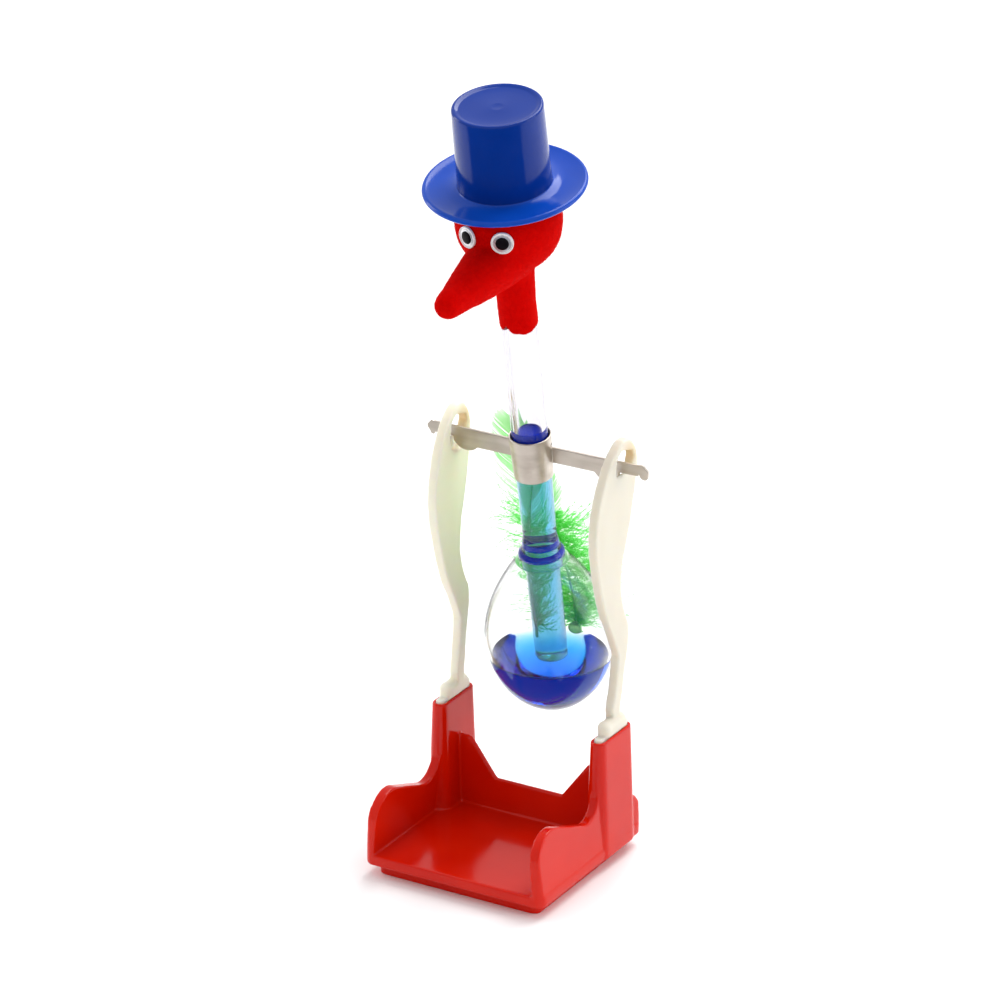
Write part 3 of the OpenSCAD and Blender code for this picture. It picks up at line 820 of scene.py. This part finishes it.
def hat():
    """The top hat: flat brim with a rolled bead, crown with a raised rim and a moulding mark on top."""
    top = HAT_Z + CROWN_H
    bead = 0.7
    inner_r = 8.9
    outside = ([(inner_r, HAT_Z + 0.1)]
               + [(BRIM_R - 1.6, HAT_Z)]
               + arc(BRIM_R - bead, HAT_Z + 0.7, bead, -110, 110, 14)
               + [(BRIM_R - 1.75, HAT_Z + 1.05), (13.5, HAT_Z + 1.0), (CROWN_R + 0.45, HAT_Z + 1.05)]
               + arc(CROWN_R + 0.42, HAT_Z + 1.5, 0.42, -90, -180, 6)
               + [(CROWN_R - 0.1, HAT_Z + 5.0), (CROWN_TOP_R + 0.1, top - 4.0)]
               + arc(CROWN_TOP_R - 0.55, top - 0.55, 0.55, 0, 90, 8)
               + [(r, top - drop) for r, drop in (
                   (CROWN_TOP_R - 0.9, 0.04), (CROWN_TOP_R - 1.3, 0.28), (CROWN_TOP_R - 1.7, 0.36),
                   (6.0, 0.4), (1.9, 0.41), (1.6, 0.38), (1.3, 0.39), (1.0, 0.44), (0.0, 0.45))])
    inside = [(0.0, top - 1.3), (CROWN_TOP_R - 1.2, top - 1.3), (CROWN_TOP_R - 0.95, top - 2.0),
              (inner_r, HAT_Z + 1.2)]
    verts, faces = lathe(outside + inside, 160)
    askew = (NECK @ Matrix.Translation((0, 0, HEAD_Z)) @ Matrix.Rotation(math.radians(0.65), 4, "Y")
             @ Matrix.Rotation(math.radians(1.15), 4, "X") @ Matrix.Translation((0, 0, -HEAD_Z)))
    obj = new_mesh("top_hat", verts, faces, BLUE, askew, 50)
    obj.data.materials.append(CROWN_BLUE_PAINTED_SHADE)
    # The crown's side and top take the darker copy of the blue, painted shade.
    for n, face in enumerate(faces):
        middle = sum((Vector(verts[v]) for v in face), Vector()) / len(face)
        if middle.z > HAT_Z + 1.25 and middle.xy.length < CROWN_R + 1.0:
            obj.data.polygons[n].material_index = 1
    return add(obj, "bird", "blue_plastic", "hat")


hat()


# ---------- tail feather ----------

QUILL = smooth_path([(-1.6, 13.3, -54.5), (-2.3, 14.2, -46), (-3.7, 13.2, -33), (-5.2, 10.6, -21),
                     (-7.0, 8.8, -9), (-8.6, 7.8, 1.5)], 14)


def ribbon(verts, faces, path, widths, side):
    """Adds a thin strip along path, its width spread along side."""
    start = len(verts)
    for p, w in zip(path, widths):
        verts.append(tuple(p - side * w * 0.5))
        verts.append(tuple(p + side * w * 0.5))
    for i in range(len(path) - 1):
        k = start + 2 * i
        faces.append((k, k + 1, k + 3, k + 2))


def barb_path(root, out, up, length, droop, curl, steps=9):
    """A curved barb that leaves the quill along out and bends towards up."""
    path = [root]
    way = out.normalized()
    for _ in range(steps):
        way = (way + up * droop / steps + Vector((0, curl / steps, 0))).normalized()
        path.append(path[-1] + way * length / steps)
    return path


def between_legs(p):
    """Bends a barb's point inwards where it would otherwise brush a leg."""
    free, ease = 14.5, 3.3
    over = abs(p.x) - free
    if over <= 0:
        return p
    return Vector((math.copysign(free + ease * (1 - math.exp(-over / ease)), p.x), p.y, p.z))


def feather():
    """Loose down on the lower two thirds of the quill and a closed vane above it."""
    rng = random.Random(11)
    down, vane = ([], []), ([], [])
    count = len(QUILL) - 1
    stations = 430
    for n in range(stations):
        s = n / (stations - 1)
        k = min(count - 1, int(s * count))
        root = QUILL[k].lerp(QUILL[k + 1], s * count - k)
        along = (QUILL[k + 1] - QUILL[k]).normalized()
        across = along.cross(Vector((0, -1, 0))).normalized()
        loose = max(0.0, min(1.0, (0.60 - s) / 0.06)) > rng.random()
        for side in (1, -1):
            if loose:
                if side > 0:
                    reach = 14.0 * max(0.05, min(1.0, (0.57 - s) / 0.08))
                    rise = rng.uniform(-0.5, 0.8)
                else:
                    reach = 23.0
                    rise = rng.uniform(-0.4, 0.75)
                reach *= rng.uniform(0.35, 1.0)
                if s < 0.12:
                    reach *= 0.45 + 4.5 * s
                curl = rng.gauss(0, 0.4)
                lift = Vector((0, rng.gauss(0.05, 0.2), 0))
            else:
                reach = 24.0 * max(0.02, 1.03 - s) ** 0.5 * rng.uniform(0.94, 1.05) + 0.8
                reach *= 0.5 if side > 0 else 1.0
                rise = 0.75 + rng.uniform(-0.08, 0.08)
                curl, lift = 0.0, Vector()
                if side < 0 and (0.80 < s < 0.81 or 0.865 < s < 0.873 or s < 0.66 and rng.random() < 0.4):
                    continue
            out = across * side + along * rise + lift
            path = barb_path(root, out, along, reach, 0.3 if loose else 0.4, curl)
            path = [between_legs(p) for p in path]
            broad = 0.2 if loose else 0.42
            widths = [broad * (1 - 0.8 * i / 9) for i in range(10)]
            edge = (path[1] - path[0]).cross(Vector((0, 1, 0))).normalized()
            verts, faces = down if loose else vane
            ribbon(verts, faces, path, widths, edge)
            if not loose:
                continue
            for i in range(1, 10):
                for _ in range(4):
                    a = path[i - 1].lerp(path[i], rng.random())
                    d = (path[i] - path[i - 1]).normalized()
                    turn = Vector((rng.gauss(0, 1), rng.gauss(0, 0.6), rng.gauss(0, 1))) * 0.7
                    tip = a + (d * 0.9 + turn).normalized() * rng.uniform(0.9, 2.3) * (1 - 0.04 * i)
                    ribbon(verts, faces, [a, between_legs(tip)], (0.13, 0.03), edge)
    add(new_mesh("feather_down", *down, DOWN, BIRD, 180), "bird", "green_feather", "feather_vane")
    add(new_mesh("feather_closed_vane", *vane, VANE, BIRD, 180), "bird", "green_feather")


def quill():
    """The feather's shaft, thinner towards its tip."""
    verts, faces = [], []
    sides = 8
    for n, p in enumerate(QUILL):
        r = 0.42 * (1 - 0.75 * n / len(QUILL))
        for i in range(sides):
            a = 2 * math.pi * i / sides
            verts.append((p.x + r * math.cos(a), p.y + r * math.sin(a), p.z))
    for k in range(len(QUILL) - 1):
        for i in range(sides):
            j = (i + 1) % sides
            faces.append((k * sides + i, k * sides + j, (k + 1) * sides + j, (k + 1) * sides + i))
    faces.append(tuple(range(sides)))
    faces.append(tuple(range((len(QUILL) - 1) * sides, len(QUILL) * sides)))
    obj = new_mesh("feather_shaft", verts, faces, DOWN, BIRD, 60)
    return add(obj, "bird", "green_feather", "feather_quill")


feather()
quill()


# ---------- stage, light and camera ----------

def floor():
    m = Nodes("studio_floor")
    m.tint(m.noise(3), (0.94, 0.94, 0.94), (0.97, 0.97, 0.97))
    m.rough(m.noise(5), 0.7, 0.9)
    mesh = bpy.data.meshes.new("studio_floor")
    half = 4.0
    corners = [(-half, -half, 0), (half, -half, 0), (half, half, 0), (-half, half, 0)]
    mesh.from_pydata(corners, [], [(0, 1, 2, 3)])
    obj = link("studio_floor", mesh, m.material)


def area_light(name, place, target, size, power):
    light = bpy.data.lights.new(name, "AREA")
    light.shape = "RECTANGLE"
    light.size, light.size_y = size
    light.energy = power
    obj = bpy.data.objects.new(name, light)
    bpy.context.scene.collection.objects.link(obj)
    obj.location = place
    obj.rotation_euler = (Vector(target) - Vector(place)).to_track_quat("-Z", "Y").to_euler()


def world():
    """Bright all round, a little dimmer from the side the bird faces."""
    w = bpy.data.worlds.new("studio")
    bpy.context.scene.world = w
    w.use_nodes = True
    tree = w.node_tree
    back = tree.nodes["Background"]
    coords = tree.nodes.new("ShaderNodeTexCoord")
    split = tree.nodes.new("ShaderNodeSeparateXYZ")
    ramp = tree.nodes.new("ShaderNodeValToRGB")
    ramp.color_ramp.elements[0].color = (0.86, 0.86, 0.88, 1)
    ramp.color_ramp.elements[0].position = 0.2
    ramp.color_ramp.elements[1].color = (1, 1, 1, 1)
    ramp.color_ramp.elements[1].position = 0.6
    half = tree.nodes.new("ShaderNodeMapRange")
    half.inputs["From Min"].default_value = -1.0
    tree.links.new(coords.outputs["Generated"], split.inputs["Vector"])
    tree.links.new(split.outputs["Y"], half.inputs["Value"])
    tree.links.new(half.outputs["Result"], ramp.inputs["Fac"])
    tree.links.new(ramp.outputs["Color"], back.inputs["Color"])
    back.inputs["Strength"].default_value = 0.85


def painted_reflection_card():
    """A dark fan on the floor in front, beyond the toy's shadow, seen only in reflections: painted dark
    reflection.
    """
    m = Nodes("dark_reflection_card")
    m.tint(m.noise(4), (0.008, 0.008, 0.01), (0.016, 0.016, 0.02))
    m.rough(m.noise(5), 0.8, 0.95)
    near, far, height = 0.13, 1.6, 0.006
    verts, faces = [], []
    for i in range(CARD_STEPS + 1):
        a = math.radians(CARD_START + CARD_STEP * i)
        for r in (near, far):
            verts.append((r * math.cos(a), r * math.sin(a), height))
    for i in range(CARD_STEPS):
        faces.append((2 * i, 2 * i + 1, 2 * i + 3, 2 * i + 2))
    mesh = bpy.data.meshes.new("dark_reflection_card")
    mesh.from_pydata(verts, [], faces)
    obj = link("dark_reflection_card", mesh, m.material)
    obj.visible_camera = False
    obj.visible_diffuse = False
    obj.visible_transmission = False
    obj.visible_shadow = False


def camera():
    level = math.cos(CAMERA_ELEVATION)
    forward = Vector((-math.sin(CAMERA_AZIMUTH) * level, math.cos(CAMERA_AZIMUTH) * level,
                      -math.sin(CAMERA_ELEVATION)))
    right = Vector((math.cos(CAMERA_AZIMUTH), math.sin(CAMERA_AZIMUTH), 0.0))
    up = right.cross(forward)
    data = bpy.data.cameras.new("camera")
    data.lens = CAMERA_LENS
    data.sensor_width = 36.0
    data.clip_start = 0.05
    data.clip_end = 20.0
    obj = bpy.data.objects.new("camera", data)
    turn = Matrix((right, up, -forward)).transposed().to_4x4()
    obj.matrix_world = Matrix.Translation(CAMERA_PLACE) @ turn
    bpy.context.scene.collection.objects.link(obj)
    bpy.context.scene.camera = obj


floor()
world()
painted_reflection_card()
area_light("top_softbox", (0.05, 0.45, 0.8), (0, 0, 0.08), (0.6, 0.6), 6.0)
area_light("left_softbox", (-0.75, -0.05, 0.35), (0, 0, 0.09), (0.25, 0.6), 1.5)
area_light("right_softbox", (0.75, 0.35, 0.3), (0, 0, 0.09), (0.5, 0.6), 1.4)
camera()
scene = bpy.context.scene
scene.view_settings.view_transform = "Standard"
scene.cycles.max_bounces = 16
scene.cycles.transmission_bounces = 16
scene.cycles.transparent_max_bounces = 16

bpy.context.view_layer.update()
